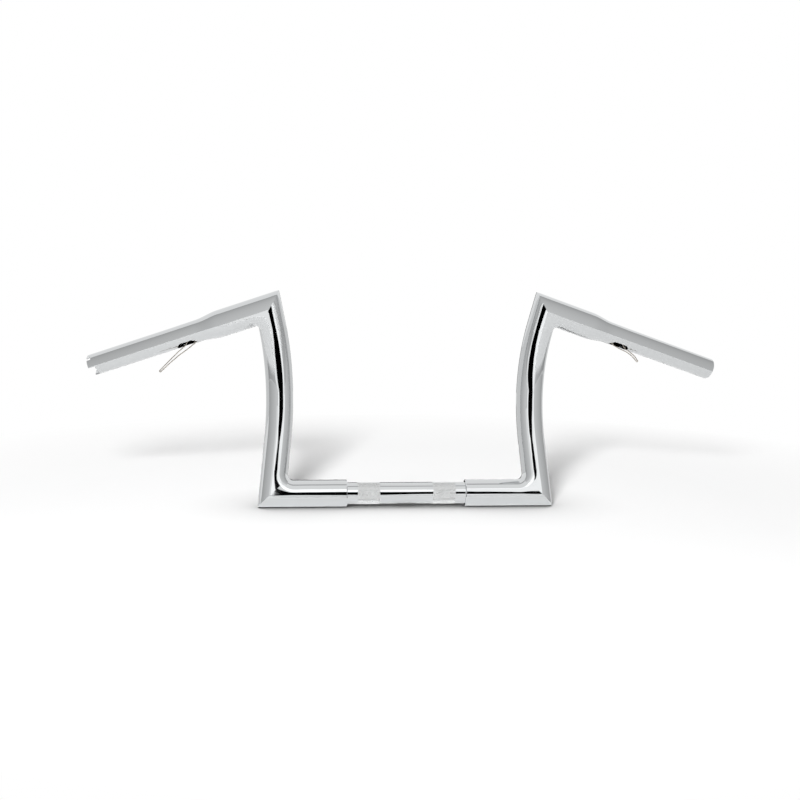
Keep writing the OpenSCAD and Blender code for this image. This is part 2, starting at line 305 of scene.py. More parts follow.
# Two sets of pyramids, each in rows round the bar. The second set fills the gaps of the first.
def knurl_tree():
    tree = bpy.data.node_groups.new("diamond_knurl", "GeometryNodeTree")
    for name, kind in KNURL_SIZES.items():
        tree.interface.new_socket(name, in_out="INPUT", socket_type=kind)
    tree.interface.new_socket("Geometry", in_out="OUTPUT", socket_type="NodeSocketGeometry")
    given = add_node(tree, "NodeGroupInput").outputs
    sets = []
    for shift in (0.0, 0.5):
        known = {name: given[name] for name in KNURL_SIZES}
        known["index"] = add_node(tree, "GeometryNodeInputIndex").outputs[0]
        for name, operation, first, second in (
            ("pitch", "DIVIDE", "Length", "Rows"),
            ("half pitch", "MULTIPLY", "pitch", 0.5),
            ("girth", "MULTIPLY", "Tip radius", 2 * math.pi),
            ("width", "DIVIDE", "girth", "Teeth"),
            ("half width", "MULTIPLY", "width", 0.5),
            ("height", "SUBTRACT", "Tip radius", "Root radius"),
            ("set rows", "SUBTRACT", "Rows", 2 * shift),
            ("count", "MULTIPLY", "Teeth", "set rows"),
            ("middle", "ADD", "index", 0.5),
            ("rows before", "DIVIDE", "middle", "Teeth"),
            ("row", "FLOOR", "rows before", 0.0),
            ("teeth before", "MULTIPLY", "row", "Teeth"),
            ("column", "SUBTRACT", "index", "teeth before"),
            ("pitches", "ADD", "row", 0.5 + shift),
            ("from edge", "MULTIPLY", "pitches", "pitch"),
            ("half length", "MULTIPLY", "Length", 0.5),
            ("from middle", "SUBTRACT", "from edge", "half length"),
            ("along", "ADD", "from middle", "Place"),
            ("shifted column", "ADD", "column", shift),
            ("share of turn", "DIVIDE", "shifted column", "Teeth"),
            ("turn", "MULTIPLY", "share of turn", 2 * math.pi),
            ("cosine", "COSINE", "turn", 0.0),
            ("sine", "SINE", "turn", 0.0),
            ("back", "MULTIPLY", "cosine", "Root radius"),
            ("up", "MULTIPLY", "sine", "Root radius"),
            ("spin", "SUBTRACT", "turn", math.pi / 2),
        ):
            known[name] = add_node(tree, "ShaderNodeMath", {"operation": operation}, {
                0: known.get(first, first), 1: known.get(second, second)}).outputs[0]
        cone = add_node(tree, "GeometryNodeMeshCone", inputs={
            "Vertices": 4, "Radius Top": TOOTH_TOP, "Radius Bottom": 1.0, "Depth": 1.0})
        size = add_node(tree, "ShaderNodeCombineXYZ", inputs={
            "X": known["half pitch"], "Y": known["half width"], "Z": known["height"]})
        tooth = add_node(tree, "GeometryNodeTransform", inputs={
            "Geometry": cone.outputs["Mesh"], "Scale": size.outputs[0]})
        spots = add_node(tree, "GeometryNodePoints", inputs={"Count": known["count"]})
        place = add_node(tree, "ShaderNodeCombineXYZ", inputs={
            "X": known["along"], "Y": known["back"], "Z": known["up"]})
        spots = add_node(tree, "GeometryNodeSetPosition", inputs={
            "Geometry": spots.outputs[0], "Position": place.outputs[0]})
        spin = add_node(tree, "ShaderNodeCombineXYZ", inputs={"X": known["spin"]})
        sets.append(add_node(tree, "GeometryNodeInstanceOnPoints", inputs={
            "Points": spots.outputs[0], "Instance": tooth.outputs[0], "Rotation": spin.outputs[0]}))
    joined = add_node(tree, "GeometryNodeJoinGeometry")
    for teeth in sets:
        tree.links.new(teeth.outputs[0], joined.inputs[0])
    real = add_node(tree, "GeometryNodeRealizeInstances", inputs={"Geometry": joined.outputs[0]})
    painted = add_node(tree, "GeometryNodeSetMaterial", inputs={
        "Geometry": real.outputs[0], "Material": given["Finish"]})
    add_node(tree, "NodeGroupOutput", inputs={"Geometry": painted.outputs[0]})
    return tree


# Knurl points are plated as well, but too fine to mirror anything, so they are given a rougher sheen,
# a little uneven where the clamps have rubbed.
CLAMP_RUB_SIZE = 3.0


def knurled_chrome(name):
    material, tree = new_material(name)
    place = add_node(tree, "ShaderNodeTexCoord").outputs["Object"]
    rub = add_node(tree, "ShaderNodeTexNoise", inputs={
        "Vector": place, "Scale": 1 / (CLAMP_RUB_SIZE * MM), "Detail": 3.0, "Roughness": 0.6})
    roughness = add_node(tree, "ShaderNodeMapRange", inputs={
        "Value": rub.outputs["Fac"], "From Min": 0.3, "From Max": 0.7, "To Min": 0.16, "To Max": 0.3})
    shader = add_node(tree, "ShaderNodeBsdfPrincipled", inputs={
        "Base Color": linear("#e6e7e7"), "Metallic": 1.0, "Roughness": roughness.outputs["Result"]})
    add_node(tree, "ShaderNodeOutputMaterial", inputs={"Surface": shader.outputs["BSDF"]})
    return material


knurl = knurl_tree()
knurl_finish = knurled_chrome("chrome_on_rolled_knurl")
for name, side in (("knurled_band_left", 1), ("knurled_band_right", -1)):
    rough = bpy.data.objects.new(name + "_source", bpy.data.meshes.new(name + "_source"))
    scene.collection.objects.link(rough)
    rolled = rough.modifiers.new("knurl", "NODES")
    rolled.node_group = knurl
    sizes = {
        "Place": side * BAND_PLACE * MM, "Length": BAND_LENGTH * MM,
        "Root radius": BAND_ROOT_R * MM, "Tip radius": BAND_TIP_R * MM,
        "Teeth": KNURL_TEETH, "Rows": KNURL_ROWS, "Finish": knurl_finish,
    }
    for item in knurl.interface.items_tree:
        if item.in_out == "INPUT":
            rolled[item.identifier] = sizes[item.name]
    solid = rough.evaluated_get(bpy.context.evaluated_depsgraph_get())
    band = bpy.data.objects.new(name, bpy.data.meshes.new_from_object(solid))
    bpy.data.objects.remove(rough)
    scene.collection.objects.link(band)
    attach(band, "root")


# The fat tubes' route
# Each half of the bar is three 1 1/4 inch steel tubes, mitred and welded at the bottom and top corners.
# The bottom corners are filled on their inner side and the whole is ground smooth before plating.
FAT_R, FAT_BORE_R = 15.875, 12.85
BASE_CORNER, TOP_CORNER = np.array([157.5, 0, 0]), np.array([161.5, 0, 218.0])
BEND_CORNER, BEND_RADIUS = np.array([144.5, 32, 131.0]), 215.0
GRIP_SWEEP, GRIP_DROP = math.radians(15), math.radians(18.5)
BASE_FILLET, TOP_FILLET = 7.0, 1.2
EDGE_ROUNDING, FILL_FROM, FILL_BLEND = 0.05, 78.0, 24.0
CORNER_RINGS, LEAST_COSINE = 14, 0.05
INWARD = np.array([-1.0, 0, 0])
BASE_UP = unit(BEND_CORNER - BASE_CORNER)
BEND_UP = unit(TOP_CORNER - BEND_CORNER)
GRIP_OUT = np.array([
    math.cos(GRIP_DROP) * math.cos(GRIP_SWEEP),
    math.cos(GRIP_DROP) * math.sin(GRIP_SWEEP),
    -math.sin(GRIP_DROP),
])


class Corner:
    """A mitred corner between two tubes that leave it along two directions."""

    def __init__(self, point, first, second, fillet):
        half = math.acos(float(np.dot(first, second))) / 2
        self.point, self.radius = point, FAT_R + fillet
        self.toward, self.side = unit(first + second), unit(first - second)
        self.normal = unit(np.cross(first, second))
        self.centre = point + self.toward * self.radius / math.sin(half)
        self.reach = math.pi / 2 - half
        self.start = self.radius / math.tan(half)

    def across(self, tube):
        """Direction of the corner's inner side, seen from the axis of one of its tubes."""
        sign = 1 if tube == 0 else -1
        return self.toward * math.cos(self.reach) - sign * self.side * math.sin(self.reach)

    def rings(self, tube, radius, angles, filled):
        """Rings from the end of the tube's straight to the mitre."""
        sign = 1 if tube == 0 else -1
        found = []
        for step in range(CORNER_RINGS + 1):
            fan = self.reach * step / CORNER_RINGS
            turn = self.reach - fan
            outward = -self.toward * math.cos(turn) + sign * self.side * math.sin(turn)
            stretch = 1 / math.cos(fan)
            other = 1 / max(math.cos(2 * self.reach - fan), LEAST_COSINE)
            if filled:
                near = max(EDGE_ROUNDING - abs(stretch - other), 0) / EDGE_ROUNDING
                mitre = min(stretch, other) - near * near * EDGE_ROUNDING / 4
                from_inside = np.abs(np.degrees(np.arctan2(np.sin(angles), np.cos(angles))))
                share = np.clip((from_inside - FILL_FROM) / FILL_BLEND, 0, 1)
                share = share * share * (3 - 2 * share)
                stretch = 1 + (mitre - 1) * share
            reach = (self.radius - radius * np.cos(angles)) * stretch
            found.append(
                self.centre + np.outer(reach, outward) + np.outer(radius * np.sin(angles), self.normal)
            )
        return found


base_corner = Corner(BASE_CORNER, INWARD, BASE_UP, BASE_FILLET)
top_corner = Corner(TOP_CORNER, -BEND_UP, GRIP_OUT, TOP_FILLET)


def mirrored(points, side):
    return points * np.array([side, 1, 1])


# The lower tubes
# Fat steel tubes, chromed, from the clamped bar, which is sleeved into them, out to the bottom
# corners, where they are welded to the risers. Their inner ends are turned square with a chamfer.
LOWER_START, LOWER_CHAMFER = 69.85, 0.8
LOWER_RINGS, LOWER_RINGS_GAP = 24, 2.0


def lower_rings(filled, radius):
    found = []
    end = BASE_CORNER[0] - base_corner.start
    straight = np.linspace(LOWER_START + LOWER_RINGS_GAP, end, LOWER_RINGS)[:-1]
    for x in [LOWER_START, LOWER_START + LOWER_CHAMFER, *straight]:
        shrink = LOWER_CHAMFER if filled and x == LOWER_START else 0
        found.append(
            ring(np.array([x, 0, 0]), base_corner.across(0), base_corner.normal, radius - shrink, turns)
        )
    return np.array(found + base_corner.rings(0, radius, turns, filled))


for name, side in (("lower_tube_left", 1), ("lower_tube_right", -1)):
    lower = tube_wall(
        name + "_chromed",
        mirrored(lower_rings(True, FAT_R), side),
        mirrored(lower_rings(False, FAT_BORE_R), side),
    )
    lower.data.materials.append(tube_chrome)
    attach(lower, "root")
    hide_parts(name)


# The risers
# Each is one fat steel tube, bent back and then forward again on a wide mandrel. It is mitred and
# welded at either end, ground flush there, and chromed with the rest.
FOOT_RINGS, BEND_RINGS, HEAD_RINGS = 20, 33, 14


def riser_rings(filled, radius):
    half = math.acos(float(np.dot(-BASE_UP, BEND_UP))) / 2
    toward, side = unit(BEND_UP - BASE_UP), unit(-BASE_UP - BEND_UP)
    centre = BEND_CORNER + toward * BEND_RADIUS / math.sin(half)
    reach, start = math.pi / 2 - half, BEND_RADIUS / math.tan(half)
    axis_points, directions = [], []
    lower_from = BASE_CORNER + BASE_UP * base_corner.start
    lower_to = BEND_CORNER - BASE_UP * start
    for share in np.linspace(0, 1, FOOT_RINGS)[1:-1]:
        axis_points.append(lower_from + (lower_to - lower_from) * share)
        directions.append(BASE_UP)
    for turn in np.linspace(reach, -reach, BEND_RINGS):
        outward = -toward * math.cos(turn) + side * math.sin(turn)
        axis_points.append(centre + BEND_RADIUS * outward)
        directions.append(-toward * math.sin(turn) - side * math.cos(turn))
    upper_from = BEND_CORNER + BEND_UP * start
    upper_to = TOP_CORNER - BEND_UP * top_corner.start
    for share in np.linspace(0, 1, HEAD_RINGS)[1:-1]:
        axis_points.append(upper_from + (upper_to - upper_from) * share)
        directions.append(BEND_UP)
    across = base_corner.across(1)
    frames = []
    for direction in directions:
        across = unit(across - direction * np.dot(across, direction))
        frames.append((across, np.cross(direction, across)))
    handed = 1 if np.dot(np.cross(BASE_UP, base_corner.across(1)), base_corner.normal) > 0 else -1
    goal, goal_over = top_corner.across(0), top_corner.normal
    last_across, last_over = frames[-1]
    twist = math.atan2(np.dot(goal, last_over), np.dot(goal, last_across))
    found = base_corner.rings(1, radius, turns, filled)[::-1]
    count = len(axis_points)
    for i, (point, (across, over)) in enumerate(zip(axis_points, frames)):
        angle = handed * turns + twist * (i + 1) / (count + 1)
        found.append(ring(point, across, over, radius, angle))
    top_rings = top_corner.rings(0, radius, turns, filled)
    same_way = np.dot(np.cross(BEND_UP, goal), goal_over) * handed
    if same_way < 0:
        top_rings = [r[(-np.arange(ROUND)) % ROUND] for r in top_rings]
    return np.array(found + top_rings)


for name, side in (("riser_left", 1), ("riser_right", -1)):
    riser = tube_wall(
        name + "_chromed",
        mirrored(riser_rings(True, FAT_R), side),
        mirrored(riser_rings(False, FAT_BORE_R), side),
    )
    riser.data.materials.append(tube_chrome)
    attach(riser, "root")
    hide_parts(name)


# The grip tubes
# Steel, fat at the riser and swaged down to 1 inch for the hand grips, with a slot underneath through
# which the wiring comes out. The throttle's tube, on the rider's right, has two notches in its end.
GRIP_LENGTH, THROTTLE_LENGTH = 238.0, 230.0
SWAGE_START, SWAGE_END, SEAT_START, NECK_EXTRA = 60.0, 90.0, 120.0, 0.25
SEAT_R, SEAT_BORE_R, END_BORE_R, REAM_DEPTH, END_CHAMFER = 12.7, 10.3, 10.6, 45.0, 0.8
GRIP_SLOT_MIDDLE, GRIP_SLOT_TURN = 105.5, math.radians(15)
GRIP_SLOT_LENGTH, GRIP_SLOT_WIDTH = 26.0, 14.0
GRIP_BLOCK_REACH, GRIP_BLOCK_TURNS, GRIP_BLOCK_EASE = 15.4, 18, 40.0
FAT_RINGS, SWAGE_RINGS, NECK_RINGS, SEAT_RINGS = 12, 20, 17, 12
RING_GAP, SEAT_RING_GAP, REAM_RING_GAP = 1.0, 3.0, 0.1
NOTCHES = ((4.0, 5.5, math.radians(129)), (18.0, 9.0, math.radians(32)))
NOTCH_PULL_START, NOTCH_PULL_EASE = 32.0, 18.0
END_RINGS = (REAM_DEPTH, 30.0, 20.0, 12.0, 9.0, 7.0, 5.5, 3.0, END_CHAMFER, 0.0)
GRIP_DOWN = unit(np.cross(np.cross(GRIP_OUT, [0, 0, -1]), GRIP_OUT))
GRIP_BACK = np.cross(GRIP_OUT, GRIP_DOWN)


def swaged(distance, fat, neck, seat):
    if distance <= SWAGE_START:
        return fat
    if distance <= SWAGE_END:
        share = (distance - SWAGE_START) / (SWAGE_END - SWAGE_START)
        return fat + (neck - fat) * (1 - math.cos(math.pi * share)) / 2
    return max(seat, neck + (seat - neck) * (distance - SWAGE_END) / (SEAT_START - SWAGE_END))


def grip_radius(distance, length, skin):
    if skin == 0:
        radius = swaged(distance, FAT_R, SEAT_R + NECK_EXTRA, SEAT_R)
        return radius - END_CHAMFER if distance >= length - 1e-6 else radius
    if distance >= length - REAM_DEPTH:
        return END_BORE_R
    return swaged(distance, FAT_BORE_R, SEAT_BORE_R + NECK_EXTRA, SEAT_BORE_R)


def column_of(angle, angles):
    return round((angle - angles[0]) / (2 * math.pi / ROUND))


# Pulls a ring's points round so that a column of them runs down either side of each notch.
def pulled_to(angles, notches, blend):
    anchors = []
    for middle, half, columns in notches:
        anchors += [(columns[0], middle - half), (columns[1], middle + half)]
    anchors.sort()
    anchors.append((anchors[0][0] + ROUND, anchors[0][1] + 2 * math.pi))
    moved = np.array(angles)
    for (low, low_angle), (high, high_angle) in zip(anchors, anchors[1:]):
        for j in range(low, high):
            goal = low_angle + (high_angle - low_angle) * (j - low) / (high - low)
            own = angles[0] + j * 2 * math.pi / ROUND
            moved[j % ROUND] = own + (goal - own) * blend
    return moved


def grip_tube(name, side, length, notches):
    across, over = top_corner.across(1), top_corner.normal
    seat_end = length - REAM_DEPTH - REAM_RING_GAP
    stations = list(np.linspace(top_corner.start, SWAGE_START, FAT_RINGS)[1:])
    stations += list(np.linspace(SWAGE_START, SWAGE_END - RING_GAP, SWAGE_RINGS)[1:])
    stations += list(np.linspace(SWAGE_END, SEAT_START + RING_GAP, NECK_RINGS))
    stations += list(np.linspace(SEAT_START + SEAT_RING_GAP, seat_end, SEAT_RINGS))
    stations += [length - from_end for from_end in END_RINGS]

    def front_turn(angle):
        direction = GRIP_DOWN * math.cos(angle) - GRIP_BACK * math.sin(angle)
        return math.atan2(np.dot(direction, over), np.dot(direction, across))

    slot_turn = front_turn(GRIP_SLOT_TURN)
    middle_turn = round(slot_turn / (2 * math.pi / ROUND))
    shift = slot_turn - middle_turn * 2 * math.pi / ROUND
    straight_turns = turns + shift
    cuts = []
    for width, depth, angle in notches:
        middle, half = front_turn(angle), math.asin(width / 2 / SEAT_R)
        columns = (column_of(middle - half, straight_turns), column_of(middle + half, straight_turns))
        cuts.append((width, depth, middle, columns))
    skins = [
        top_corner.rings(1, FAT_R, turns, True)[::-1], top_corner.rings(1, FAT_BORE_R, turns, False)[::-1]
    ]
    fan = len(skins[0])
    distances = [0.0] * fan + stations
    kept = np.ones((len(distances) - 1, ROUND), int)
    for skin in (0, 1):
        snapped = [
            (middle, math.asin(width / 2 / (SEAT_R, END_BORE_R)[skin]), columns)
            for width, depth, middle, columns in cuts
        ]
        for distance in stations:
            radius = grip_radius(distance, length, skin)
            angles = turns + shift * min(1, (distance - top_corner.start) / GRIP_BLOCK_EASE)
            pull = (distance - (length - NOTCH_PULL_START)) / NOTCH_PULL_EASE
            if snapped and pull > 0:
                angles = pulled_to(angles, snapped, min(1.0, pull))
            skins[skin].append(ring(TOP_CORNER + GRIP_OUT * distance, across, over, radius, angles))
    for width, depth, middle, columns in cuts:
        for k in range(fan, len(distances) - 1):
            if distances[k] >= length - depth - 1e-6:
                for j in range(*columns):
                    kept[k][j % ROUND] = 0
    first = fan + int(np.argmin(abs(np.array(stations) - (GRIP_SLOT_MIDDLE - GRIP_BLOCK_REACH))))
    last = fan + int(np.argmin(abs(np.array(stations) - (GRIP_SLOT_MIDDLE + GRIP_BLOCK_REACH))))

    def outer_radius(distance):
        return grip_radius(distance, length, 0)

    places, rims = slot_block(kept, first, last, middle_turn, GRIP_BLOCK_TURNS, distances, outer_radius)

    def on_grip(along, aside, skin):
        radius = grip_radius(along, length, skin)
        angle = slot_turn + math.asin(aside / radius)
        point = TOP_CORNER + GRIP_OUT * along
        point = point + radius * (across * math.cos(angle) + over * math.sin(angle))
        return tuple(point * np.array([side, 1, 1]))

    return tube_wall(
        name,
        mirrored(np.array(skins[0]), side),
        mirrored(np.array(skins[1]), side),
        kept,
        [(places, rims, GRIP_SLOT_MIDDLE, GRIP_SLOT_LENGTH, GRIP_SLOT_WIDTH, on_grip)],
    )


for name, side, length, notches in (
    ("grip_tube_left", 1, GRIP_LENGTH, ()),
    ("grip_tube_right", -1, THROTTLE_LENGTH, NOTCHES),
):
    grip = grip_tube(name + "_chromed", side, length, notches)
    grip.data.materials.append(tube_chrome)
    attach(grip, "root")
    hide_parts(name)


# The pull wires
# Soft steel wire, drawn bright and doubled, threaded through the tubes for pulling the wiring in. The
# loop of each hangs out of the slot under the grip, and its two ends lie just inside the bar's slot.
WIRE_R, WIRE_CLEARANCE, STRAND_GAP = 0.6, 0.3, 2.4
WIRE_START, WIRE_END_GAP = 17.0, 4.0
BASE_TURN_R, TOP_TURN_R, SLOT_TURN_R, SLOT_EXIT, HAIRPIN_R = 22.0, 16.0, 8.0, math.radians(45), 0.9
BASE_TURN_STEPS, BEND_STEPS, TOP_TURN_STEPS, SLOT_TURN_STEPS = 10, 24, 10, 8
HAIRPIN_POINTS, WIRE_SIDES, LONGEST_STEP, CURVE_STEPS = 9, 12, 6.0, 3
NEAR_LEFT = ((98.5, 12.3, 3), (107, 14, 4), (117, 15, 5), (124, 16.5, 5), (130, 19, 5))
FAR_LEFT = ((115.5, 12.3, 5), (122, 13.9, 6), (129, 16.3, 6))
TIP_LEFT, TIP_TURN_LEFT = (135.5, 21, 5.5), 28
NEAR_RIGHT = ((96.5, 12.3, 3), (107, 16.6, 4), (120, 20.6, 4.5), (133, 25.8, 5))
FAR_RIGHT = ((109.5, 12.3, 4), (119, 16.3, 4.5), (131, 22, 5))
TIP_RIGHT, TIP_TURN_RIGHT = (148, 31.5, 5), 24


def below_grip(place):
    along, drop, front = place
    return TOP_CORNER + GRIP_OUT * along + GRIP_DOWN * drop - GRIP_BACK * front


def rounded_corner(point, first, second, radius, steps):
    half = math.acos(float(np.dot(first, second))) / 2
    centre = point + unit(first + second) * radius / math.sin(half)
    start, end = (unit(point + leg * radius / math.tan(half) - centre) for leg in (first, second))
    whole = math.acos(float(np.dot(start, end)))
    points = []
    for share in np.linspace(0, 1, steps + 1):
        toward = math.sin(whole * (1 - share)) * start + math.sin(whole * share) * end
        points.append(centre + radius * toward / math.sin(whole))
    return points


def strand(offset, way_out):
    aside = np.array([0, offset, 0])
    low = -math.sqrt((BAR_BORE_R - WIRE_R - WIRE_CLEARANCE) ** 2 - offset**2)
    bar_end = np.array([BAR_LENGTH / 2 + WIRE_END_GAP, 0, low])
    turn = below_grip((way_out[0] - way_out[1] / math.tan(SLOT_EXIT), 0, 0))
    corners = (
        (BASE_CORNER, unit(bar_end - BASE_CORNER), BASE_UP, BASE_TURN_R, BASE_TURN_STEPS),
        (BEND_CORNER, -BASE_UP, BEND_UP, BEND_RADIUS, BEND_STEPS),
        (TOP_CORNER, -BEND_UP, GRIP_OUT, TOP_TURN_R, TOP_TURN_STEPS),
        (turn, -GRIP_OUT, unit(below_grip(way_out) - turn), SLOT_TURN_R, SLOT_TURN_STEPS),
    )
    points = [np.array([WIRE_START, offset, low]), bar_end + aside]
    for corner in corners:
        points += [point + aside for point in rounded_corner(*corner)]
    return points


def wire_route(near, far, tip, tip_turn):
    hairpin = []
    for share in np.linspace(0, 1, HAIRPIN_POINTS):
        angle = math.radians(90 - 180 * share + tip_turn)
        along, drop = tip[0] + HAIRPIN_R * math.cos(angle), tip[1] + HAIRPIN_R * math.sin(angle)
        hairpin.append((along, drop, tip[2]))
    loop = [below_grip(place) for place in (*near, *hairpin, *far[::-1])]
    return strand(STRAND_GAP / 2, near[0]) + loop + strand(-STRAND_GAP / 2, far[0])[::-1]


def smoothed(route):
    filled = [route[0]]
    for start, end in zip(route, route[1:]):
        parts = max(1, math.ceil(np.linalg.norm(end - start) / LONGEST_STEP))
        filled += [start + (end - start) * (i + 1) / parts for i in range(parts)]
    ends = [2 * filled[0] - filled[1], *filled, 2 * filled[-1] - filled[-2]]
    curve = []
    for a, b, c, d in zip(ends, ends[1:], ends[2:], ends[3:]):
        t1 = math.sqrt(np.linalg.norm(b - a))
        t2 = t1 + math.sqrt(np.linalg.norm(c - b))
        t3 = t2 + math.sqrt(np.linalg.norm(d - c))
        for t in np.linspace(t1, t2, CURVE_STEPS + 1)[:-1]:
            ab = a + (b - a) * t / t1
            bc = b + (c - b) * (t - t1) / (t2 - t1)
            cd = c + (d - c) * (t - t2) / (t3 - t2)
            abc, bcd = ab + (bc - ab) * t / t2, bc + (cd - bc) * (t - t1) / (t3 - t1)
            curve.append(abc + (bcd - abc) * (t - t1) / (t2 - t1))
    return curve + [filled[-1]]


# Drawn steel wire is greyer than the chrome, with a soft sheen that its drawing marks make uneven.
DRAWN_GRAIN_SIZE = 0.8


def drawn_wire(name):
    material, tree = new_material(name)
    place = add_node(tree, "ShaderNodeTexCoord").outputs["Object"]
    grain = add_node(tree, "ShaderNodeTexNoise", inputs={
        "Vector": place, "Scale": 1 / (DRAWN_GRAIN_SIZE * MM), "Detail": 2.0})
    roughness = add_node(tree, "ShaderNodeMapRange", inputs={
        "Value": grain.outputs["Fac"], "From Min": 0.3, "From Max": 0.7, "To Min": 0.28, "To Max": 0.45})
    shader = add_node(tree, "ShaderNodeBsdfPrincipled", inputs={
        "Base Color": linear("#b9b2a8"), "Metallic": 1.0, "Roughness": roughness.outputs["Result"]})
    add_node(tree, "ShaderNodeOutputMaterial", inputs={"Surface": shader.outputs["BSDF"]})
    return material


wire_finish = drawn_wire("drawn_steel_wire")
for name, side, near, far, tip, tip_turn in (
    ("pull_wire_left", 1, NEAR_LEFT, FAR_LEFT, TIP_LEFT, TIP_TURN_LEFT),
    ("pull_wire_right", -1, NEAR_RIGHT, FAR_RIGHT, TIP_RIGHT, TIP_TURN_RIGHT),
):
    middle = smoothed(wire_route(near, far, tip, tip_turn))
    along = np.gradient(np.array(middle), axis=0)
    angles = np.arange(WIRE_SIDES) * 2 * math.pi / WIRE_SIDES
    across = unit(np.cross(along[0], [0, 1, 0]))
    points, faces = [], []
    for centre, direction in zip(middle, along):
        direction = unit(direction)
        across = unit(across - direction * np.dot(across, direction))
        points += list(mirrored(ring(centre, across, np.cross(direction, across), WIRE_R, angles), side))
    for k in range(len(middle) - 1):
        for j in range(WIRE_SIDES):
            n = (j + 1) % WIRE_SIDES
            a, b = k * WIRE_SIDES, (k + 1) * WIRE_SIDES
            faces.append([a + j, b + j, b + n, a + n])
    faces += [list(range(WIRE_SIDES)), list(range(len(points) - WIRE_SIDES, len(points)))]
    wire = finished(name + "_drawn", points, faces)
    wire.data.materials.append(wire_finish)
    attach(wire, "root")
    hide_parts(name)


# The room
# A white laminate table top in a white room, with a soft box in front, to the left and above, and
# glowing dark, grey and bright cards, which only the chrome sees: painted reflections and highlights
# of the things that stand round a studio table.
FLOOR_HEIGHT, FLOOR_REACH = -15.9, 8000.0
WHITE = (1, 1, 1, 1)
floor = bpy.data.objects.new("floor", bpy.data.meshes.new("floor"))
scene.collection.objects.link(floor)
reach, level = FLOOR_REACH * MM, FLOOR_HEIGHT * MM
corners = [(-reach, -reach, level), (reach, -reach, level), (reach, reach, level), (-reach, reach, level)]
floor.data.from_pydata(corners, [], [(0, 1, 2, 3)])


# 1 for what the camera sees, itself or in the chrome, and 0 for what lights a matt surface.
def seen_plainly(tree):
    path = add_node(tree, "ShaderNodeLightPath").outputs
    seen = add_node(tree, "ShaderNodeMath", {"operation": "MAXIMUM"}, {
        0: path["Is Camera Ray"], 1: path["Is Glossy Ray"]})
    seen = add_node(tree, "ShaderNodeMath", {"operation": "MAXIMUM"}, {
        0: seen.outputs[0], 1: path["Is Transmission Ray"]})
    straight = add_node(tree, "ShaderNodeMath", {"operation": "LESS_THAN"}, {
        0: path["Diffuse Depth"], 1: 0.5})
    return add_node(tree, "ShaderNodeMath", {"operation": "MULTIPLY"}, {
        0: seen.outputs[0], 1: straight.outputs[0]}).outputs[0]


# A white laminate: matt to the camera, with painted shade round where something stands on it, its
# colour darkened by ambient occlusion for the camera only, but seen along its surface it mirrors the
# room, as the chrome does see it. It is lifted a little towards the back, and away from the bar it is
# plain white, like the room behind it.
LAMINATE = linear("#f3f3f3")
CONTACT_SHADE = 100.0
LIFT_START, LIFT_END, LIFT = -150.0, 1000.0, 0.13
FADE_START, FADE_END = 420.0, 800.0
MIRROR_START, MIRROR_END, MIRROR_ROUGHNESS = 0.6, 0.68, 0.12
floor_material, tree = new_material("white_laminate_table_top")
seen = seen_plainly(tree)
path = add_node(tree, "ShaderNodeLightPath").outputs
plain = add_node(tree, "ShaderNodeBsdfDiffuse", inputs={"Color": LAMINATE})
# Painted contact shade: ambient occlusion darkens the laminate's colour near the bar, as the camera sees
# it.
rim = add_node(tree, "ShaderNodeAmbientOcclusion", inputs={
    "Color": LAMINATE, "Distance": CONTACT_SHADE * MM})
shaded = add_node(tree, "ShaderNodeBsdfDiffuse", inputs={"Color": rim.outputs["Color"]})
matt = add_node(tree, "ShaderNodeMixShader", inputs={
    0: path["Is Camera Ray"], 1: plain.outputs[0], 2: shaded.outputs[0]})
spot = add_node(tree, "ShaderNodeTexCoord").outputs["Object"]
depth = add_node(tree, "ShaderNodeSeparateXYZ", inputs={0: spot}).outputs["Y"]
lift = add_node(tree, "ShaderNodeMapRange", inputs={
    "Value": depth, "From Min": LIFT_START * MM, "From Max": LIFT_END * MM, "To Min": 0.0, "To Max": LIFT})
lift = add_node(tree, "ShaderNodeMath", {"operation": "MULTIPLY"}, {0: seen, 1: lift.outputs[0]})
glow = add_node(tree, "ShaderNodeEmission", inputs={"Strength": lift.outputs[0]})
near = add_node(tree, "ShaderNodeAddShader", inputs={0: matt.outputs[0], 1: glow.outputs[0]})
away = add_node(tree, "ShaderNodeVectorMath", {"operation": "LENGTH"}, {0: spot})
away = add_node(tree, "ShaderNodeMapRange", inputs={
    "Value": away.outputs["Value"], "From Min": FADE_START * MM, "From Max": FADE_END * MM})
away = add_node(tree, "ShaderNodeMath", {"operation": "MULTIPLY"}, {0: seen, 1: away.outputs[0]})
white = add_node(tree, "ShaderNodeEmission", inputs={"Strength": 1.0})
table = add_node(tree, "ShaderNodeMixShader", inputs={
    0: away.outputs[0], 1: near.outputs[0], 2: white.outputs[0]})
facing = add_node(tree, "ShaderNodeLayerWeight", inputs={"Blend": 0.5}).outputs["Facing"]
along_it = add_node(tree, "ShaderNodeMapRange", inputs={
    "Value": facing, "From Min": MIRROR_START, "From Max": MIRROR_END})
mirrors = add_node(tree, "ShaderNodeMath", {"operation": "MULTIPLY"}, {
    0: along_it.outputs[0], 1: path["Is Glossy Ray"]})
sheen = add_node(tree, "ShaderNodeBsdfGlossy", inputs={"Roughness": MIRROR_ROUGHNESS})
surface = add_node(tree, "ShaderNodeMixShader", inputs={
    0: mirrors.outputs[0], 1: table.outputs[0], 2: sheen.outputs[0]})
add_node(tree, "ShaderNodeOutputMaterial", inputs={"Surface": surface.outputs[0]})
floor.data.materials.append(floor_material)

# The white room lights what stands in it softly.
ROOM_LIGHT = 0.42
world = bpy.data.worlds.new("white_room")
scene.world = world
world.use_nodes = True
world.node_tree.nodes.clear()
tree = world.node_tree
brightness = add_node(tree, "ShaderNodeMapRange", inputs={
    "Value": seen_plainly(tree), "To Min": ROOM_LIGHT, "To Max": 1.0})
sky = add_node(tree, "ShaderNodeBackground", inputs={"Color": WHITE, "Strength": brightness.outputs[0]})
add_node(tree, "ShaderNodeOutputWorld", inputs={"Surface": sky.outputs[0]})
scene.view_settings.view_transform = "Standard"

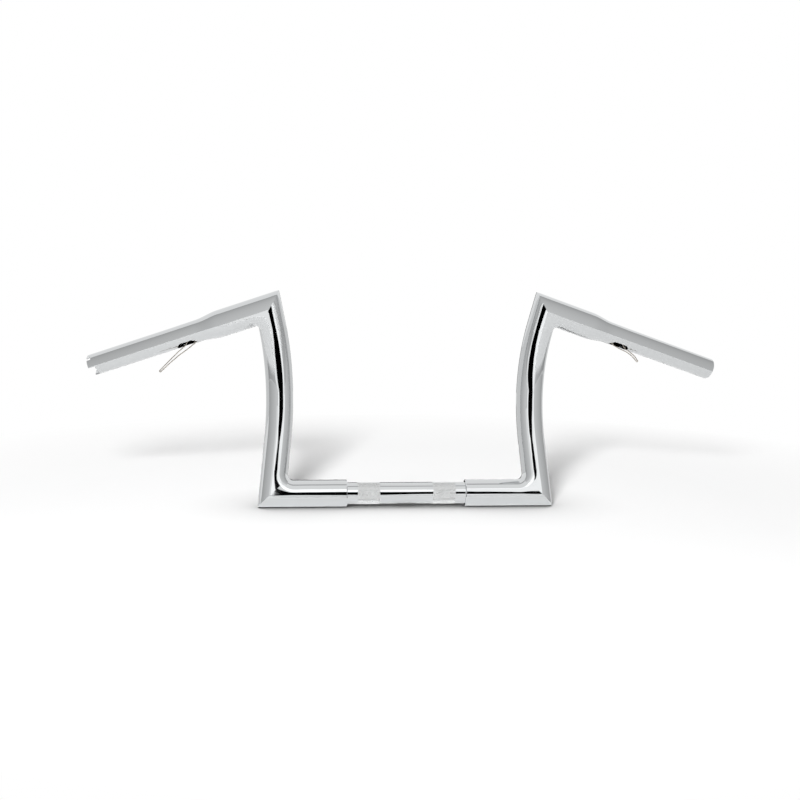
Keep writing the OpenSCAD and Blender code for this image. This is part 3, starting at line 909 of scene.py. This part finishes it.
# The soft box throws the bar's shadow back and to the right. Its light doesn't fall off, so the table
# is lit evenly.
KEY_PLACE, KEY_SIZE, KEY_ENERGY = np.array([-381.0, -1500.0, 824.0]), 380.0, 14.1
key = bpy.data.lights.new("soft_box", "AREA")
key.shape = "DISK"
key.size = KEY_SIZE * MM
key.energy = KEY_ENERGY
key.use_nodes = True
tree = key.node_tree
tree.nodes.clear()
even = add_node(tree, "ShaderNodeLightFalloff", inputs={"Strength": 1.0})
glow = add_node(tree, "ShaderNodeEmission", inputs={"Strength": even.outputs["Constant"]})
add_node(tree, "ShaderNodeOutputLight", inputs={"Surface": glow.outputs[0]})
key_lamp = bpy.data.objects.new("soft_box", key)
scene.collection.objects.link(key_lamp)
back = unit(KEY_PLACE)
right = unit(np.cross([0, 0, 1], back))
columns = np.column_stack([right, np.cross(back, right), back, KEY_PLACE * MM])
key_lamp.matrix_world = Matrix([*columns.tolist(), [0, 0, 0, 1]])
# The chrome doesn't mirror the soft box itself; the bright cards below paint its highlights instead.
key_lamp.visible_glossy = False


# Cards that only a mirror sees, glowing flat sheets that paint reflections and highlights into the
# chrome. Each is given by its corners. Its brightness is even, or goes from its front to its back, or is
# another one where the table mirrors it.
def card(name, corners, strength, mirrored_strength=None):
    sheet = bpy.data.objects.new(name, bpy.data.meshes.new(name))
    sheet.data.from_pydata([tuple(c * MM for c in p) for p in corners], [], [tuple(range(len(corners)))])
    scene.collection.objects.link(sheet)
    material, tree = new_material(name)
    front, back = strength if isinstance(strength, tuple) else (strength, strength)
    level = front
    if front != back:
        spot = add_node(tree, "ShaderNodeTexCoord").outputs["Object"]
        depth = add_node(tree, "ShaderNodeSeparateXYZ", inputs={0: spot}).outputs["Y"]
        ends = [c[1] * MM for c in corners]
        level = add_node(tree, "ShaderNodeMapRange", inputs={
            "Value": depth, "From Min": min(ends), "From Max": max(ends),
            "To Min": front, "To Max": back}).outputs[0]
    if mirrored_strength is not None:
        depth = add_node(tree, "ShaderNodeLightPath").outputs["Glossy Depth"]
        level = add_node(tree, "ShaderNodeMapRange", inputs={
            "Value": depth, "From Min": 1.0, "From Max": 2.0,
            "To Min": front, "To Max": mirrored_strength}).outputs[0]
    glow = add_node(tree, "ShaderNodeEmission", inputs={"Color": WHITE, "Strength": level})
    add_node(tree, "ShaderNodeOutputMaterial", inputs={"Surface": glow.outputs[0]})
    sheet.data.materials.append(material)
    for ray in ("camera", "diffuse", "transmission", "volume_scatter", "shadow"):
        setattr(sheet, "visible_" + ray, False)


def standing(ends, low, high):
    (x0, y0), (x1, y1) = ends
    return [(x0, y0, low), (x1, y1, low), (x1, y1, high), (x0, y0, high)]


def lying(places):
    return [(x, y, CARD_ON_TABLE) for x, y in places]


CARD_ON_TABLE, CARD_FOOT = FLOOR_HEIGHT + 0.9, -14
# The painted reflections: glowing sheets that stand round the bar or lie on the table, seen only in the
# chrome.
card("dark_front", [
    (-180, -900, -15.6), (420, -900, -15.6), (420, -900, 110), (250, -900, 285), (160, -900, 345),
    (-60, -900, 345), (-180, -900, 270),
], 0.0, 1.2)
card("dark_patch", lying([
    (-45, -118), (-112, -215), (-225, -290), (-260, -420), (-250, -600), (-180, -900),
    (420, -900), (260, -600), (150, -420), (68, -290), (20, -205), (-20, -118),
]), 0.0)
card("bright_front", standing(((-280, -1100), (420, -1100)), 470, 1100), 1.7)
card("grey_left", standing(((-430, -640), (-800, 110)), CARD_FOOT, 1400), (0.8, 0.47))
card("grey_right", standing(((520, -640), (800, 350)), CARD_FOOT, 1400), (0.8, 0.44))
card("bright_strip_left", standing(((-330, -905), (-150, -905)), CARD_FOOT, 800), 1.4)
card("bright_strip_right", standing(((150, -905), (800, -905)), CARD_FOOT, 800), 1.3)
card("grey_overhead", [(-260, -110, 700), (260, -110, 700), (260, 37, 700), (-260, 37, 700)], 0.55)
card("bright_table_left", lying([
    (-49, -118), (-116, -215), (-229, -290), (-264, -420), (-254, -600), (-184, -900),
    (-330, -900), (-390, -600), (-400, -420), (-350, -290), (-240, -215), (-150, -118),
]), 1.15)
card("bright_table_right", lying([
    (-16, -118), (24, -205), (72, -290), (154, -420), (264, -600), (424, -900),
    (580, -900), (420, -600), (310, -420), (220, -290), (150, -205), (90, -118),
]), 1.35)
card("dark_back", standing(((-150, 1000), (150, 1000)), 0, 450), 0.05)
